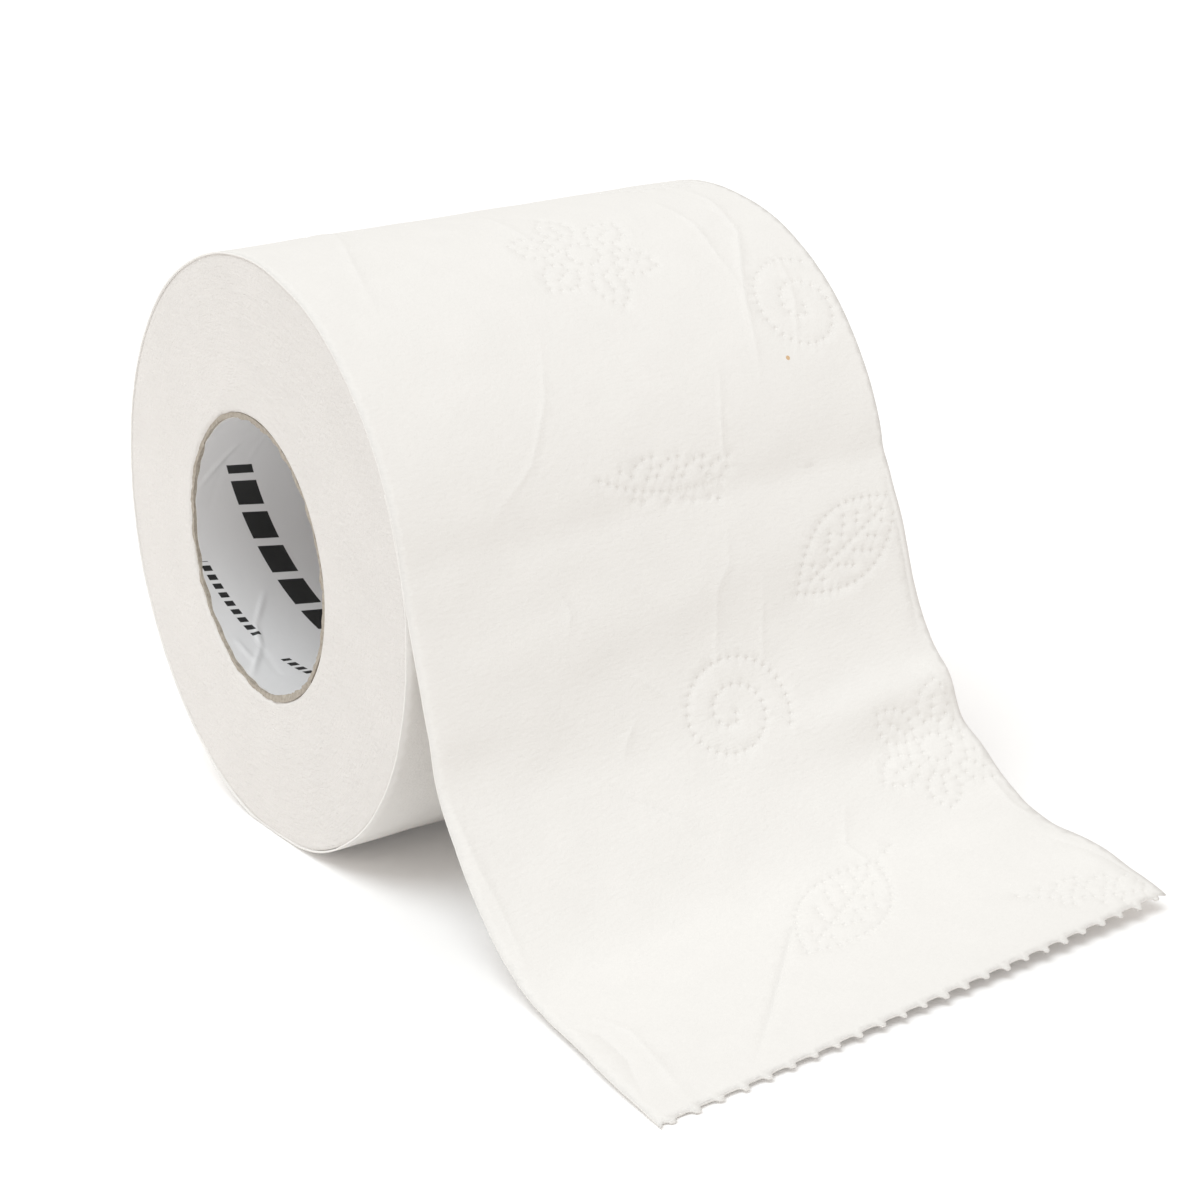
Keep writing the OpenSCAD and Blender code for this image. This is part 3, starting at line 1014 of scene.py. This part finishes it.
def printed_lining():
    material, tree, shader = new_material("coated_paper_lining")

    def calc(operation, a, b=0.0, c=0.0):
        return add(tree, "ShaderNodeMath", {"operation": operation}, i0=a, i1=b, i2=c).outputs[0]

    uv = add(tree, "ShaderNodeUVMap", {"uv_map": "print"})
    split = add(tree, "ShaderNodeSeparateXYZ", Vector=uv.outputs[0])
    arc, x = split.outputs[0], split.outputs[1]
    over = calc("ADD", calc("MULTIPLY", x, HELIX_RUN), calc("MULTIPLY", arc, HELIX_RISE))
    along = calc("SUBTRACT", calc("MULTIPLY", arc, HELIX_RUN), calc("MULTIPLY", x, HELIX_RISE))

    def row(middle, half):
        shifted = calc("WRAP", calc("SUBTRACT", over, middle), LEAD / 2, -LEAD / 2)
        return calc("LESS_THAN", calc("ABSOLUTE", shifted), half), shifted

    def strokes(count, share, slant, offset=0.0):
        leaning = calc("ADD", along, calc("MULTIPLY", slant, 0.5))
        phase = calc("FRACT", calc("ADD", calc("MULTIPLY", leaning, count / ROUND), offset + 20.0))
        return calc("LESS_THAN", phase, share)

    in_blocks, up_block = row(BLOCK_ROW, BLOCK_HALF)
    in_dashes, up_dash = row(DASH_ROW, DASH_HALF)
    blocks = calc("MULTIPLY", in_blocks, strokes(BLOCKS_ROUND, 0.78, up_block))
    blocks = calc("MULTIPLY", blocks, strokes(4, 0.97, up_block, 0.42))
    groups = strokes(2, 0.52, up_block, 0.19)
    dashes = calc("MULTIPLY", in_dashes, strokes(DASHES_ROUND, 0.6, up_dash))
    dash_groups = strokes(6, 0.7, up_dash, 0.3)
    ink = calc("MAXIMUM", calc("MULTIPLY", blocks, groups), calc("MULTIPLY", dashes, dash_groups))
    tone = add(tree, "ShaderNodeMix", {"data_type": "RGBA"}, Factor=ink)
    tone.inputs[6].default_value = linear("#dcdbdb")
    tone.inputs[7].default_value = linear("#141414")
    tree.links.new(tone.outputs[2], shader.inputs["Base Color"])
    shader.inputs["Roughness"].default_value = 0.42
    shader.inputs["Specular IOR Level"].default_value = 0.6
    place = add(tree, "ShaderNodeTexCoord").outputs["Object"]
    grain = add(tree, "ShaderNodeTexNoise", Vector=place, Scale=1 / 0.004, Detail=3.0)
    bump = add(tree, "ShaderNodeBump", Strength=0.25, Distance=0.0003, Height=grain.outputs[0])
    tree.links.new(bump.outputs[0], shader.inputs["Normal"])
    return material

# %% Put the finishes on
def finish_with(piece, material):
    piece.data.materials.clear()
    piece.data.materials.append(material)

finish_with(loose_sheet, tissue())
finish_with(wound_web, sawn_tissue())
finish_with(core_board, grey_board())
finish_with(core_lining, printed_lining())

# %% [markdown]
# ## Floor and light
#
# The roll lies on a plain white floor that runs out of the frame. The floor glows a
# little, though it is no lamp: this is painted light, which keeps shadows pale. A white
# sky lights the roll from all sides, one broad soft sun from above and the left gives
# the dents their shade, and a small lamp, low on the left, lifts the foot of the end
# that faces it. Sizes and places of the floor and the lamp are in metres.

# %% Floor and light
FLOOR_SIDE = 40.0
FLOOR_COLOUR = (1.0, 0.985, 0.975, 1.0)
FLOOR_GLOW = 0.04
SKY_COLOUR = (1.0, 0.970, 0.940, 1.0)
SKY = 0.71
SUN_COLOUR = (0.945, 1.015, 1.055)
SUN = 1.45
SUN_SPREAD = 40.0
SUN_FORWARD = 6.0
SUN_LEFT = 24.0
FILL_COLOUR = (1.0, 0.99, 0.97)
FILL_PLACE = (-0.19, 0.08, -0.035)
FILL_SIDE = 0.08
FILL = 0.026

def add_stage():
    bpy.ops.object.select_all(action="DESELECT")
    bpy.ops.mesh.primitive_plane_add(size=FLOOR_SIDE, location=(0, 0, FLOOR * MM))
    floor = bpy.context.object
    floor.name = "floor"
    material, tree, shader = new_material("white_floor")
    shader.inputs["Base Color"].default_value = FLOOR_COLOUR
    shader.inputs["Roughness"].default_value = 0.9
    shader.inputs["Specular IOR Level"].default_value = 0.0
    # The emission is painted light: the floor glows though it is no lamp, so shadows on it and under the
    # roll stay pale.
    shader.inputs["Emission Color"].default_value = (1.0, 1.0, 1.0, 1.0)
    shader.inputs["Emission Strength"].default_value = FLOOR_GLOW
    finish_with(floor, material)
    return floor

def add_light():
    world = bpy.data.worlds.new("studio")
    world.use_nodes = True
    world.node_tree.nodes["Background"].inputs[0].default_value = SKY_COLOUR
    world.node_tree.nodes["Background"].inputs[1].default_value = SKY
    bpy.context.scene.world = world
    data = bpy.data.lights.new("key", "SUN")
    data.energy = SUN
    data.color = SUN_COLOUR
    data.angle = math.radians(SUN_SPREAD)
    key = bpy.data.objects.new("key", data)
    key.rotation_euler = (math.radians(SUN_FORWARD), math.radians(-SUN_LEFT), 0)
    bpy.context.scene.collection.objects.link(key)
    data = bpy.data.lights.new("fill", "AREA")
    data.energy = FILL
    data.color = FILL_COLOUR
    data.size = FILL_SIDE
    fill_light = bpy.data.objects.new("fill", data)
    fill_light.location = FILL_PLACE
    fill_light.visible_camera = False
    towards_roll = -fill_light.location
    fill_light.rotation_euler = towards_roll.to_track_quat("-Z", "Y").to_euler()
    bpy.context.scene.collection.objects.link(fill_light)

floor = add_stage()
add_light()
bpy.context.scene.view_settings.view_transform = "Standard"

# %% Hand the pieces over
for piece, slot_name, nodes in (
    (wound_web, "tissue", ["paper_web"]),
    (loose_sheet, "tissue", ["paper_web"]),
    (core_board, "board", ["core_tube"]),
    (core_lining, "liner", ["core_liner"]),
):
    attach(piece, "root")
    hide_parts(*nodes)
